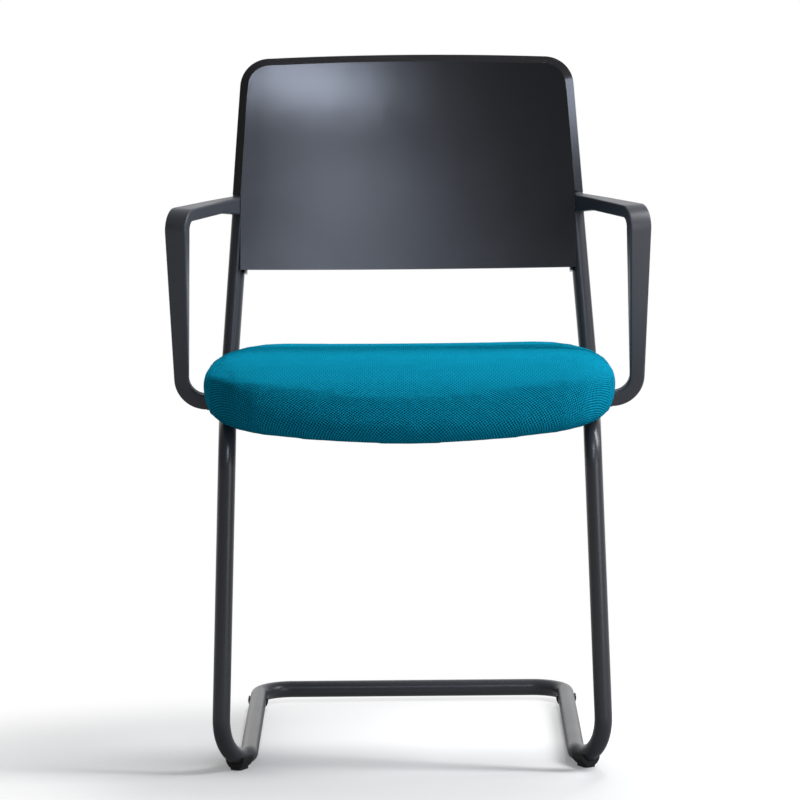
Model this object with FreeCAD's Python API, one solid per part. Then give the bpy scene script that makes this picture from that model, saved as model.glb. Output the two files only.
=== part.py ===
import FreeCAD, Part
import math
import os

from FreeCAD import Placement, Rotation, Vector

# Cantilever conference chair with arms, millimetres, +Z up, the sitter faces -Y and the left side is +X.
# The origin is on the floor, half way between the seat's front lip and the back of the rear crossbar.

# Frame tube
TUBE_OD = 22.0
TUBE_WALL = 2.0
OVERALL_DEPTH = 546.0
RUNNER_SPREAD = 411.0          # between the axes of the two floor runners
FOOT_SPREAD = 478.0            # between the two leg axes, carried down to the runners' height
KNEE_SPREAD = 449.6            # between the axes where legs and rails would meet
HEEL_SPREAD = 475.8            # between the axes where rails and uprights would meet
FOOT_SETBACK = 52.6            # seat's front lip back to the foot of the leg
KNEE_SETBACK = 65.0            # seat's front lip back to the knee
HEEL_SETBACK = 414.6           # seat's front lip back to the heel
RAIL_HEIGHT = 435.5            # floor to the axis of the side rails
TOE_IN = 30.0                  # degrees that the foot bend is turned inwards
FOOT_BEND = 55.0               # centreline radii of the bends
TOE_BEND = 35.0
CORNER_BEND = 45.0
KNEE_BEND = 60.0
HEEL_BEND = 60.0
SLEEVE_LENGTH = 120.0
SLEEVE_WALL = 2.0
FIT_GAP = 0.15                 # clearance of a sliding fit, each side

# Back uprights and their spigots
RECLINE = 11.3                 # degrees that the back leans from the vertical
UPRIGHT_LEAN = 4.26            # degrees that each upright leans inwards, in the plane of the back
SHOULDER_HEIGHT = 233.0        # heel to the shoulder that carries the arm, along the back
NECK_LENGTH = 3.0
SPIGOT_OD = 17.0
SPIGOT_LENGTH = 140.0

# Backrest shell, sizes along the back count from the heel
PANEL_BOTTOM = 159.0
SHELL_TOP = 446.7
TOP_CROWN = 6.0
RIM_BOTTOM = 259.0
RIM_PROUD = 0.7                # rim beyond the tube's outer side
RIM_DEPTH = 29.0
RIM_CHAMFER = 11.0
CORNER_RADIUS = 40.0
SHELL_WALL = 4.0
RIM_WALL = 3.0
SAG_TOP = 22.0                 # hollow of the panel across its width, at the top and at the bottom
SAG_BOTTOM = 12.0
RIM_SAG_SHARE = 0.35           # hollow of the rim's rear edge over the panel's hollow
PANEL_STEPS = 3                # lengths up the panel, straight but for the last one
TOP_ROLL = 12.0                # how far the last length rolls back, carried on past the corners
PANEL_EDGE_IN = 5.6            # upright's axis in to the panel's edge, at the panel's bottom
PANEL_SEAT_GAP = 0.6           # between the panel's back and the upright
CRADLE_WALL = 3.0              # rib that backs the upright below the rim
CRADLE_DROP = 4.0
BACK_SCREW_HEIGHT = 330.0

# Arms
ARM_EYE_GAP = 0.3              # above and below the eye on the spigot
ARM_REAR_HEIGHT = 25.0
ARM_FLARE = 0.4                # share of the armrest that flares towards the eye
ARM_TOP_GAP = 1.0              # rim's lower end down to the top of the armrest
ARM_FRONT_SPREAD = 594.0       # between the middles of the two front posts, at the top
ARM_FOOT_SPREAD = 584.0        # the same at the foot
ARM_FRONT_SETBACK = 250.0      # seat's front lip back to the front face of the post, at the top
ARM_FOOT_SETBACK = 297.0       # the same at the foot
ARM_BOW = 3.0                  # outward bow of the armrest in plan
ARM_REAR_WIDTH = 22.0
ARM_MIDDLE_WIDTH = 25.0
ARM_WIDTH = 29.0               # front view width at the top of the post
ARM_FOOT_WIDTH = 19.0
ARM_WAIST = 16.0               # armrest thickness
POST_THICKNESS = 15.0
ARM_EDGE = 2.5
ARM_FRONT_BEND = 26.0
ARM_FOOT_BEND = 32.0
PANEL_GAP = 0.8                # between the arm's rear end and the panel's edge

# Seat
STRAP_THICKNESS = 4.0
STRAP_WIDTH = 30.0
STRAP_CORNER = 9.0
STRAP_OVERHANG = 7.0           # strap past the rail's axis
STRAP_MARGIN = 5.0             # front strap behind the start of the waterfall
REAR_STRAP_INSET = 107.0       # seat's rear edge forward to the rear strap
PAN_THICKNESS = 2.5
PAN_MARGIN = 8.0               # pan's edge in from the flat underside's edge
COVER_THICKNESS = 1.5
HEM_WIDTH = 22.0               # cover's return under the board
HEM_GAP = 0.3                  # room for the cover over and under its hem
BOARD_THICKNESS = 9.0
BOARD_MARGIN = 3.0             # board's edge in from the flat underside's edge
FOAM_OVER_BOARD = 31.0
SEAT_WIDTH = 511.0
SEAT_LENGTH = 447.0
SEAT_FRONT_RADIUS = 780.0      # plan curve of the front lip
SEAT_FRONT_CORNER = 70.0
SEAT_REAR_CORNER_X = 92.0
SEAT_REAR_CORNER_Y = 200.0
SEAT_EDGE_TOP = 60.0           # width of the rounding at the sides, over and under the widest line
SEAT_EDGE_UNDER = 24.0
SEAT_REAR_EDGE = 34.0
SEAT_DISH = 2.5                # hollow of the seat across its width
LIP_TUCK = 14.0                # underside of the lip behind its nose
WATERFALL_START = 155.0        # front lip back to where the seat starts to fall
WATERFALL_RADIUS = 308.0
SEAT_STEPS = 10                # sections of the cushion from its middle to its side
SEAT_END_SHARE = 0.997         # last section's place over the half width

# Fasteners
SEAT_SCREW_SPREAD = 240.0
SEAT_SCREW_OD = 6.0
SCREW_HEAD_OD = 11.0
SCREW_HEAD_HEIGHT = 3.3
HOLE_GAP = 0.5                 # hole radius over screw radius
TEE_FLANGE_OD = 19.0
TEE_FLANGE_THICKNESS = 1.5
TEE_BARREL_OD = 9.0
PAN_SCREW_OD = 4.0
PAN_SCREW_HEAD = 8.0
PAN_SCREW_BITE = 6.0           # into the board
PAN_SCREW_SPREAD = 280.0
BACK_SCREW_OD = 4.8
BACK_SCREW_HEAD = 9.0
HEAD_SHARE = 0.34              # height of a low round head over its diameter
ARM_INSERT_OD = 9.0
ARM_INSERT_LENGTH = 14.0

# Floor glides
GLIDE_HEIGHT = 3.5             # floor to the underside of the tube
GLIDE_LENGTH = 22.0
GLIDE_WALL = 2.4
GLIDE_SOLE = 16.0              # width of the flat sole
GLIDE_GRIP = 2.0               # how far the clip reaches above the tube's axis
GLIDE_EDGE = 4.0
FRONT_GLIDE_REACH = 23.0       # runner's toe bend forward to the middle of the glide
REAR_GLIDE_INSET = 76.0        # back of the crossbar forward to the middle of the glide
PEG_OD = 6.0
PEG_LENGTH = 4.0

# Places that follow from the sizes above
FRONT_Y = -OVERALL_DEPTH / 2
TUBE_R = TUBE_OD / 2
BORE_R = TUBE_R - TUBE_WALL
RUNNER_Z = GLIDE_HEIGHT + TUBE_R
CROSSBAR_Y = OVERALL_DEPTH / 2 - TUBE_R
HEEL = Vector(HEEL_SPREAD / 2, FRONT_Y + HEEL_SETBACK, RAIL_HEIGHT)
KNEE = Vector(KNEE_SPREAD / 2, FRONT_Y + KNEE_SETBACK, RAIL_HEIGHT)
FOOT = Vector(FOOT_SPREAD / 2, FRONT_Y + FOOT_SETBACK, RUNNER_Z)
STRAP_BOTTOM = RAIL_HEIGHT + TUBE_R
PAN_BOTTOM = STRAP_BOTTOM + STRAP_THICKNESS
PAN_TOP = PAN_BOTTOM + PAN_THICKNESS
COVER_BOTTOM = PAN_TOP + HEM_GAP
BOARD_BOTTOM = COVER_BOTTOM + COVER_THICKNESS + HEM_GAP
BOARD_TOP = BOARD_BOTTOM + BOARD_THICKNESS
SEAT_TOP = BOARD_TOP + FOAM_OVER_BOARD + COVER_THICKNESS
WATERFALL_Y = FRONT_Y + WATERFALL_START
FRONT_STRAP_SETBACK = WATERFALL_START + STRAP_WIDTH / 2 + STRAP_MARGIN
REAR_STRAP_SETBACK = SEAT_LENGTH - REAR_STRAP_INSET
ARM_TOP = RAIL_HEIGHT + RIM_BOTTOM * math.cos(math.radians(RECLINE)) - ARM_TOP_GAP
BOARD_INSET = SEAT_EDGE_UNDER + BOARD_MARGIN
PAN_INSET = SEAT_EDGE_UNDER + PAN_MARGIN
HEM_INSET = BOARD_INSET + HEM_WIDTH
PANEL_FRONT = TUBE_R + PANEL_SEAT_GAP + SHELL_WALL
SPIGOT_R = SPIGOT_OD / 2
INSERT_START = TUBE_R + 2 * FIT_GAP
UP = Vector(0, 0, 1)
TINY = 1e-4


def mirrored(shape):
    return shape.mirror(Vector(0, 0, 0), Vector(1, 0, 0))


def aimed(shape, base, direction):
    """Moves a shape made along +Z so that it starts at base and points along direction."""
    return shape.transformed(Placement(base, Rotation(UP, direction)).toMatrix())


def rod(base, direction, length, radius):
    return Part.makeCylinder(radius, length, base, direction)


def corner_arc(before, corner, after, radius):
    """The start, middle and end points of the arc that rounds a corner."""
    towards_before = (before - corner).normalize()
    towards_after = (after - corner).normalize()
    half_turn = (math.pi - towards_before.getAngle(towards_after)) / 2
    reach = radius * math.tan(half_turn)
    bisector = (towards_before + towards_after).normalize()
    middle = corner + bisector * (radius / math.cos(half_turn) - radius)
    return corner + towards_before * reach, middle, corner + towards_after * reach


def rounded_path(points, radii):
    """Straight runs joined by tangent arcs, one radius for each inner point."""
    edges = []
    start = points[0]
    for index, radius in enumerate(radii, 1):
        first, middle, last = corner_arc(points[index - 1], points[index], points[index + 1], radius)
        edges.append(Part.LineSegment(start, first).toShape())
        edges.append(Part.Arc(first, middle, last).toShape())
        start = last
    edges.append(Part.LineSegment(start, points[-1]).toShape())
    return edges


def ring_face(edge, outer, inner):
    """A ring square to the start of an edge, or a disc where inner is zero."""
    start = edge.valueAt(edge.FirstParameter)
    along = edge.tangentAt(edge.FirstParameter)
    rims = [Part.Wire(Part.makeCircle(radius, start, along)) for radius in (outer, inner) if radius > 0]
    return Part.makeFace(rims, "Part::FaceMakerBullseye")


def carried(face, edge):
    """A face at the start of a straight or round edge, carried along it."""
    if isinstance(edge.Curve, Part.Circle):
        turn = math.degrees(edge.LastParameter - edge.FirstParameter)
        return face.revolve(edge.Curve.Center, edge.Curve.Axis, turn)
    return face.extrude(edge.valueAt(edge.LastParameter) - edge.valueAt(edge.FirstParameter))


def tube_along(edges, outer, inner):
    runs = [carried(ring_face(edge, outer, inner), edge) for edge in edges]
    return runs[0].multiFuse(runs[1:]).removeSplitter()


def upright_edges(block):
    return [edge for edge in block.Edges if edge.tangentAt(edge.FirstParameter).cross(UP).Length < TINY]


def back_direction():
    """Direction of the left upright, leaning back and inwards."""
    lean = math.tan(math.radians(UPRIGHT_LEAN))
    recline = math.radians(RECLINE)
    return Vector(-lean, math.sin(recline), math.cos(recline)).normalize()


def upright_point(height):
    """Point on the left upright's axis at a height along the back."""
    return HEEL + back_direction() * (height / math.cos(math.radians(UPRIGHT_LEAN)))


def upright_x(height):
    return HEEL.x - height * math.tan(math.radians(UPRIGHT_LEAN))


def toe():
    """Corner where the straight runner and the turned-out foot meet, on the tube's axis."""
    run = (FOOT.x - RUNNER_SPREAD / 2) / math.tan(math.radians(TOE_IN))
    return Vector(RUNNER_SPREAD / 2, FOOT.y + run, RUNNER_Z)


def frame_path():
    points = [
        Vector(0, CROSSBAR_Y, RUNNER_Z),
        Vector(RUNNER_SPREAD / 2, CROSSBAR_Y, RUNNER_Z),
        toe(),
        FOOT,
        KNEE,
        HEEL,
        upright_point(SHOULDER_HEIGHT),
    ]
    return rounded_path(points, [CORNER_BEND, TOE_BEND, FOOT_BEND, KNEE_BEND, HEEL_BEND])


def spigot():
    """Swaged end of the upright: a short neck and a slimmer tube that holds the arm and the back."""
    shoulder = upright_point(SHOULDER_HEIGHT)
    spigot_bore = SPIGOT_R - TUBE_WALL
    neck = Part.makeCone(TUBE_R, SPIGOT_R, NECK_LENGTH).cut(Part.makeCone(BORE_R, spigot_bore, NECK_LENGTH))
    tube = Part.makeCylinder(SPIGOT_R, SPIGOT_LENGTH).cut(Part.makeCylinder(spigot_bore, SPIGOT_LENGTH))
    tube.translate(Vector(0, 0, NECK_LENGTH))
    return aimed(neck.fuse(tube), shoulder, back_direction())


def rail_x(y):
    share = (y - KNEE.y) / (HEEL.y - KNEE.y)
    return KNEE.x + share * (HEEL.x - KNEE.x)


def solid_tube(clearance):
    """Outer form of the left frame half, for seats that have to fit round it."""
    return tube_along(frame_path(), TUBE_R + clearance, 0.0)


def glide_places():
    """Floor point under the middle of each left glide, and the degrees that it is turned out."""
    front = toe() + (FOOT - toe()).normalize() * FRONT_GLIDE_REACH
    return {
        "front": (Vector(front.x, front.y, 0), TOE_IN),
        "rear": (Vector(RUNNER_SPREAD / 2, OVERALL_DEPTH / 2 - REAR_GLIDE_INSET, 0), 0.0),
    }


def peg_rod(centre, radius):
    return rod(Vector(centre.x, centre.y, RUNNER_Z - TUBE_R - FIT_GAP), UP, PEG_LENGTH + FIT_GAP, radius)


def arm_screw_axis():
    """Point on the rail's axis level with the arm's foot, and the way outwards."""
    y = FRONT_Y + ARM_FOOT_SETBACK + POST_THICKNESS / 2
    return Vector(rail_x(y), y, RAIL_HEIGHT), Vector(1, 0, 0)


def back_screw_axis():
    """Back of the spigot at the screw's height, and the way forwards into it."""
    recline = math.radians(RECLINE)
    forward = Vector(0, -math.cos(recline), math.sin(recline))
    return upright_point(BACK_SCREW_HEIGHT), forward


def frame_tube():
    tube = tube_along(frame_path(), TUBE_R, BORE_R).fuse(spigot())
    for centre, _ in glide_places().values():
        tube = tube.cut(peg_rod(centre, PEG_OD / 2 + FIT_GAP))
    axis_point, outwards = arm_screw_axis()
    hole_radius = SEAT_SCREW_OD / 2 + HOLE_GAP
    tube = tube.cut(rod(axis_point - outwards * TUBE_OD, outwards, TUBE_OD * 2, hole_radius))
    axis_point, forward = back_screw_axis()
    return tube.cut(rod(axis_point - forward * TUBE_OD, forward, TUBE_OD, BACK_SCREW_OD / 2 + FIT_GAP))


def crossbar_sleeve():
    outer = BORE_R - FIT_GAP
    start = Vector(-SLEEVE_LENGTH / 2, CROSSBAR_Y, RUNNER_Z)
    along = Vector(1, 0, 0)
    return rod(start, along, SLEEVE_LENGTH, outer).cut(rod(start, along, SLEEVE_LENGTH, outer - SLEEVE_WALL))


def glide(centre, turn):
    """Clip that grips the lower half of the runner, with a flat sole under it."""
    reach = TUBE_R + GLIDE_WALL
    rear_y = centre.y - GLIDE_LENGTH / 2
    clip = rod(Vector(centre.x, rear_y, RUNNER_Z), Vector(0, 1, 0), GLIDE_LENGTH, reach)
    clip = clip.common(Part.makeBox(2 * reach, GLIDE_LENGTH, RUNNER_Z + GLIDE_GRIP,
                                    Vector(centre.x - reach, rear_y, 0)))
    sole = Part.makeBox(GLIDE_SOLE, GLIDE_LENGTH, RUNNER_Z, Vector(centre.x - GLIDE_SOLE / 2, rear_y, 0))
    clip = clip.fuse(sole.makeFillet(GLIDE_EDGE, upright_edges(sole)))
    clip.rotate(centre, UP, turn)
    return clip.cut(solid_tube(FIT_GAP)).fuse(peg_rod(centre, PEG_OD / 2))


def seat_strap(y):
    """Flat bar across the rails with rounded ends and two screw holes."""
    reach = rail_x(y) + STRAP_OVERHANG
    corner = Vector(-reach, y - STRAP_WIDTH / 2, STRAP_BOTTOM)
    bar = Part.makeBox(2 * reach, STRAP_WIDTH, STRAP_THICKNESS, corner)
    bar = bar.makeFillet(STRAP_CORNER, upright_edges(bar))
    for x in (-SEAT_SCREW_SPREAD / 2, SEAT_SCREW_SPREAD / 2):
        hole = rod(Vector(x, y, STRAP_BOTTOM), UP, STRAP_THICKNESS, SEAT_SCREW_OD / 2 + HOLE_GAP)
        bar = bar.cut(hole)
    return bar


def seat_screw_places():
    return [Vector(x, FRONT_Y + setback, 0)
            for setback in (FRONT_STRAP_SETBACK, REAR_STRAP_SETBACK)
            for x in (-SEAT_SCREW_SPREAD / 2, SEAT_SCREW_SPREAD / 2)]


def waterfall_drop(y, level):
    """How far the seat's curved front lies below a flat level at a place y."""
    ahead = max(WATERFALL_Y - y, 0.0)
    radius = WATERFALL_RADIUS + level
    return radius - math.sqrt(radius * radius - ahead * ahead)


def seat_front(x, inset):
    """Front edge of the cushion in plan."""
    half = SEAT_WIDTH / 2 - inset
    radius = SEAT_FRONT_CORNER
    bow = x * x / (2 * SEAT_FRONT_RADIUS)
    past = max(abs(x) - (half - radius), 0.0)
    return FRONT_Y + inset + bow + radius - math.sqrt(max(radius * radius - past * past, 0.0))


def seat_rear(x, inset):
    """Rear edge of the cushion in plan, drawn in to pass between the uprights."""
    half = SEAT_WIDTH / 2 - inset
    past = max(abs(x) - (half - SEAT_REAR_CORNER_X), 0.0) / SEAT_REAR_CORNER_X
    draw = SEAT_REAR_CORNER_Y * (1 - math.sqrt(max(1 - past * past, 0.0)))
    return FRONT_Y + SEAT_LENGTH - inset - draw


def through(points):
    """A chain of arcs, each through three points in turn, closed by the last arc's end."""
    edges = []
    for index in range(0, len(points) - 1, 2):
        first, middle, last = points[index:index + 3]
        straight = abs((middle - first).normalize().dot((last - middle).normalize())) > 0.99999
        curve = Part.LineSegment(first, last) if straight else Part.Arc(first, middle, last)
        edges.append(curve.toShape())
    return Part.Wire(edges)


def seat_section(x, inset):
    """Side profile of the cushion at a place x: lip, waterfall top, rear roll and underside."""
    half = SEAT_WIDTH / 2 - inset
    top = SEAT_TOP - inset
    bottom = COVER_BOTTOM + inset
    middle = (SEAT_TOP + COVER_BOTTOM) / 2
    past_top = max(abs(x) - (half - SEAT_EDGE_TOP), 0.0) / SEAT_EDGE_TOP
    past_under = max(abs(x) - (half - SEAT_EDGE_UNDER), 0.0) / SEAT_EDGE_UNDER
    dish = SEAT_DISH * (1 - (x / half) ** 2)
    z_top = middle + (top - dish - middle) * math.sqrt(1 - past_top ** 2)
    z_under = middle - (middle - bottom) * math.sqrt(1 - past_under ** 2)
    front = seat_front(x, inset)
    rear = seat_rear(x, inset)
    lift = z_top - COVER_BOTTOM
    thick = z_top - z_under
    lip_y = front + min(LIP_TUCK, thick / 2)
    roll = min(SEAT_REAR_EDGE, (rear - front) / 4)

    def under(y):
        return Vector(x, y, z_under - waterfall_drop(y, 0.0))

    def over(y):
        return Vector(x, y, z_top - waterfall_drop(y, lift))

    nose = Vector(x, front, (under(front).z + over(front).z) / 2)
    tail_z = (z_top + z_under) / 2
    fall_y = max(WATERFALL_Y, lip_y + thick)
    mid_fall = (fall_y + lip_y) / 2
    crown = (fall_y + rear - roll) / 2
    bulge = math.sqrt(0.5)
    return through([
        under(lip_y),
        Vector(x, lip_y - (lip_y - front) * bulge, nose.z - (nose.z - under(lip_y).z) * bulge),
        nose,
        Vector(x, lip_y - (lip_y - front) * bulge, nose.z + (over(lip_y).z - nose.z) * bulge),
        over(lip_y),
        over(mid_fall),
        over(fall_y),
        over(crown),
        over(rear - roll),
        Vector(x, rear - roll * (1 - bulge), tail_z + (z_top - tail_z) * bulge),
        Vector(x, rear, tail_z),
        Vector(x, rear - LIP_TUCK * (1 - bulge), tail_z - (tail_z - z_under) * bulge),
        under(rear - LIP_TUCK),
        under((rear - LIP_TUCK + fall_y) / 2),
        under(fall_y),
        under(mid_fall),
        under(lip_y),
    ])


def seat_form(inset):
    """Crowned cushion with drawn-in sides, lofted from side to side in narrow strips."""
    half = SEAT_WIDTH / 2 - inset
    shares = [1 - (1 - step / SEAT_STEPS) ** 2 for step in range(SEAT_STEPS)] + [SEAT_END_SHARE]
    places = [-half * share for share in reversed(shares[1:])] + [half * share for share in shares]
    return Part.makeLoft([seat_section(x, inset) for x in places], True, True)


def plan_face(inset):
    """Outline of the cushion in plan, drawn in by inset, from two plan curves."""
    half = SEAT_WIDTH / 2 - inset
    shares = [math.sin(math.pi / 2 * step / 10) for step in range(-10, 11)]
    front = [Vector(half * share, seat_front(half * share, inset), 0) for share in shares]
    rear = [Vector(half * share, seat_rear(half * share, inset), 0) for share in reversed(shares)]
    edges = []
    for side in (front, rear):
        curve = Part.BSplineCurve()
        curve.interpolate(side)
        edges.append(curve.toShape())
    edges.insert(1, Part.LineSegment(front[-1], rear[0]).toShape())
    edges.append(Part.LineSegment(rear[-1], front[0]).toShape())
    return Part.Face(Part.Wire(edges))


def plan_prism(inset):
    return plan_face(inset).extrude(Vector(0, 0, SEAT_TOP))


def waterfall_sheet(level, thickness):
    """Sheet that is flat behind and falls at the front, with its underside at level."""
    depth = WATERFALL_START + SEAT_FRONT_CORNER
    rear_y = FRONT_Y + SEAT_LENGTH
    centre_z = COVER_BOTTOM - WATERFALL_RADIUS

    def arc_points(z):
        radius = z - centre_z
        turn = math.asin(min(depth, radius * 0.9) / radius)
        return [Vector(0, WATERFALL_Y - radius * math.sin(turn * share),
                       centre_z + radius * math.cos(turn * share)) for share in (0, 0.5, 1)]

    low = arc_points(level)
    high = arc_points(level + thickness)
    low_rear = Vector(0, rear_y, level)
    high_rear = Vector(0, rear_y, level + thickness)
    outline = Part.Wire([
        Part.LineSegment(low_rear, low[0]).toShape(),
        Part.Arc(*low).toShape(),
        Part.LineSegment(low[2], high[2]).toShape(),
        Part.Arc(high[2], high[1], high[0]).toShape(),
        Part.LineSegment(high[0], high_rear).toShape(),
        Part.LineSegment(high_rear, low_rear).toShape(),
    ])
    sheet = Part.Face(outline).extrude(Vector(SEAT_WIDTH, 0, 0))
    sheet.translate(Vector(-SEAT_WIDTH / 2, 0, 0))
    return sheet


def trimmed_sheet(level, thickness, inset):
    """Waterfall sheet cut to the cushion's plan outline, drawn in by inset."""
    return waterfall_sheet(level, thickness).common(plan_prism(inset))


def seat_board():
    board = trimmed_sheet(BOARD_BOTTOM, BOARD_THICKNESS, BOARD_INSET)
    for place in seat_screw_places():
        hole = rod(Vector(place.x, place.y, BOARD_BOTTOM), UP, BOARD_THICKNESS, TEE_BARREL_OD / 2 + FIT_GAP)
        board = board.cut(hole)
    for place in pan_screw_places():
        pilot = rod(Vector(place.x, place.y, BOARD_BOTTOM), UP, PAN_SCREW_BITE, PAN_SCREW_OD / 2 + FIT_GAP)
        board = board.cut(pilot)
    return board


def pan_screw_places():
    """Six places along the pan's sides: behind the front strap and on both sides of the rear one."""
    setbacks = (FRONT_STRAP_SETBACK + STRAP_WIDTH, REAR_STRAP_SETBACK - STRAP_WIDTH,
                REAR_STRAP_SETBACK + STRAP_WIDTH)
    return [Vector(x, FRONT_Y + setback, 0)
            for setback in setbacks
            for x in (-PAN_SCREW_SPREAD / 2, PAN_SCREW_SPREAD / 2)]


def seat_pan():
    """Thin underside shell whose middle is stepped up to the board inside the cover's hem."""
    pan = trimmed_sheet(PAN_BOTTOM, PAN_THICKNESS, PAN_INSET)
    pan = pan.fuse(trimmed_sheet(PAN_TOP, BOARD_BOTTOM - PAN_TOP, HEM_INSET + HEM_GAP))
    for place in seat_screw_places():
        pan = pan.cut(rod(Vector(place.x, place.y, PAN_BOTTOM), UP, BOARD_BOTTOM - PAN_BOTTOM,
                          SEAT_SCREW_OD / 2 + HOLE_GAP))
    for place in pan_screw_places():
        pan = pan.cut(rod(Vector(place.x, place.y, PAN_BOTTOM), UP, BOARD_BOTTOM - PAN_BOTTOM,
                          PAN_SCREW_OD / 2 + FIT_GAP))
    return pan


def seat_foam():
    foam = seat_form(COVER_THICKNESS)
    foam = foam.cut(trimmed_sheet(COVER_BOTTOM, BOARD_TOP - COVER_BOTTOM, BOARD_INSET))
    for nut in seat_tee_nuts():
        foam = foam.cut(nut)
    return foam


def seat_cover():
    """Fabric skin with its hem between board and pan, open underneath inside the hem."""
    skin = seat_form(0.0).cut(seat_form(COVER_THICKNESS))
    return skin.cut(trimmed_sheet(PAN_BOTTOM, BOARD_TOP - PAN_BOTTOM, HEM_INSET))


def seat_tee_nuts():
    nuts = []
    for place in seat_screw_places():
        barrel = rod(Vector(place.x, place.y, BOARD_BOTTOM), UP, BOARD_THICKNESS, TEE_BARREL_OD / 2)
        flange = rod(Vector(place.x, place.y, BOARD_TOP), UP, TEE_FLANGE_THICKNESS, TEE_FLANGE_OD / 2)
        bore = rod(Vector(place.x, place.y, BOARD_BOTTOM), UP, BOARD_THICKNESS + TEE_FLANGE_THICKNESS,
                   SEAT_SCREW_OD / 2)
        nuts.append(barrel.fuse(flange).cut(bore))
    return nuts


def seat_screws():
    screws = []
    for place in seat_screw_places():
        head = rod(Vector(place.x, place.y, STRAP_BOTTOM - SCREW_HEAD_HEIGHT), UP, SCREW_HEAD_HEIGHT,
                   SCREW_HEAD_OD / 2)
        shank = rod(Vector(place.x, place.y, STRAP_BOTTOM), UP, BOARD_TOP - STRAP_BOTTOM, SEAT_SCREW_OD / 2)
        screws.append(head.fuse(shank))
    return screws


def low_screw(seat, length, diameter, head_diameter):
    """Screw along +Z with a low head under its seat, rounded off by a cone."""
    height = head_diameter * HEAD_SHARE
    radius = head_diameter / 2
    cone = Part.makeCone(radius - height / 2, radius, height / 2, seat - UP * height)
    disc = rod(seat - UP * (height / 2), UP, height / 2, radius)
    return cone.fuse(disc).fuse(rod(seat, UP, length, diameter / 2))


def pan_screws():
    length = BOARD_BOTTOM - PAN_BOTTOM + PAN_SCREW_BITE
    return [low_screw(place + UP * PAN_BOTTOM, length, PAN_SCREW_OD, PAN_SCREW_HEAD)
            for place in pan_screw_places()]


def on_back(shape):
    """Places a shape drawn flat, X across, Y up the back and Z forwards, on the reclined back."""
    turn = Rotation(Vector(1, 0, 0), 90 - RECLINE)
    return shape.transformed(Placement(Vector(0, HEEL.y, HEEL.z), turn).toMatrix())


def rim_x(height):
    """Outer side of the rim at a height along the back."""
    return upright_x(height) + TUBE_R / math.cos(math.radians(UPRIGHT_LEAN)) + RIM_PROUD


def shell_outline(inset, bottom):
    """Front outline of the shell with rounded top corners, drawn in by inset."""
    top = SHELL_TOP - TOP_CROWN - inset
    low_left = Vector(-rim_x(bottom) + inset, bottom, 0)
    high_left = Vector(-rim_x(top) + inset, top, 0)
    high_right = Vector(-high_left.x, top, 0)
    low_right = Vector(-low_left.x, bottom, 0)
    radius = CORNER_RADIUS - inset
    left = corner_arc(low_left, high_left, high_right, radius)
    right = corner_arc(high_left, high_right, low_right, radius)
    crown = Vector(0, top + TOP_CROWN, 0)
    return Part.Wire([
        Part.LineSegment(low_left, left[0]).toShape(),
        Part.Arc(*left).toShape(),
        Part.Arc(left[2], crown, right[0]).toShape(),
        Part.Arc(*right).toShape(),
        Part.LineSegment(right[2], low_right).toShape(),
        Part.LineSegment(low_right, low_left).toShape(),
    ])


def behind_panel(setback, sag_share):
    """Space behind a hollow face set back from the panel's front, with its hollow scaled by sag_share."""
    half = HEEL_SPREAD / 2
    rear = -4 * RIM_DEPTH
    low = PANEL_BOTTOM - CORNER_RADIUS
    rise = SHELL_TOP + CORNER_RADIUS - low
    sections = []
    for step in range(PANEL_STEPS + 1):
        share = step / PANEL_STEPS
        height = low + rise * share
        depth = (SAG_BOTTOM + (SAG_TOP - SAG_BOTTOM) * share) * sag_share
        roll = TOP_ROLL if step == PANEL_STEPS else 0.0
        middle = PANEL_FRONT - setback - depth - roll
        edge = middle + depth * (half / upright_x(height)) ** 2
        left = Vector(-half, height, edge)
        right = Vector(half, height, edge)
        hollow = Part.Arc(left, Vector(0, height, middle), right).toShape()
        corners = [right, Vector(half, height, rear), Vector(-half, height, rear), left]
        sides = [Part.LineSegment(a, b).toShape() for a, b in zip(corners, corners[1:])]
        sections.append(Part.Wire([hollow] + sides))
    return Part.makeLoft(sections, True, False)


def shell_block(inset, bottom, setback, chamfer):
    """Outline of the shell carried back from the hollow panel, with its front edges chamfered."""
    prism = Part.Face(shell_outline(inset, bottom)).extrude(Vector(0, 0, 6 * RIM_DEPTH))
    prism.translate(Vector(0, 0, -4 * RIM_DEPTH))
    block = prism.common(behind_panel(setback, 1.0))
    front = max(block.Faces, key=lambda face: face.normalAt(0.5, 0.5).z * face.Area)
    edges = [edge for edge in front.Edges if edge.CenterOfMass.y > bottom + CORNER_RADIUS / 2]
    return block.makeChamfer(chamfer, edges)


def panel_half():
    """Half of the panel's width at its bottom edge."""
    return upright_x(PANEL_BOTTOM) - PANEL_EDGE_IN


def beside_panel():
    """Space outside the panel's left edge, below the rim."""
    crease = rim_x(RIM_BOTTOM) - RIM_CHAMFER
    far = HEEL_SPREAD
    low = PANEL_BOTTOM - CORNER_RADIUS
    outline = [Vector(panel_half(), low, 0), Vector(panel_half(), PANEL_BOTTOM, 0),
               Vector(crease, RIM_BOTTOM, 0), Vector(far, RIM_BOTTOM, 0), Vector(far, low, 0)]
    space = Part.Face(Part.makePolygon(outline + outline[:1])).extrude(Vector(0, 0, 8 * RIM_DEPTH))
    space.translate(Vector(0, 0, -4 * RIM_DEPTH))
    return space


def upright_rod(low, high, radius):
    """Rod along the left upright's axis between two heights, drawn flat for the back."""
    base = Vector(upright_x(low), low, 0)
    along = Vector(upright_x(high), high, 0) - base
    return rod(base, along, along.Length, radius)


def upright_slice(low, high, radius):
    """The same rod, trimmed square to the back at both heights."""
    blank = upright_rod(low - radius, high + radius, radius)
    return blank.common(Part.makeBox(HEEL_SPREAD, high - low, 4 * radius, Vector(0, low, -2 * radius)))


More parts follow.
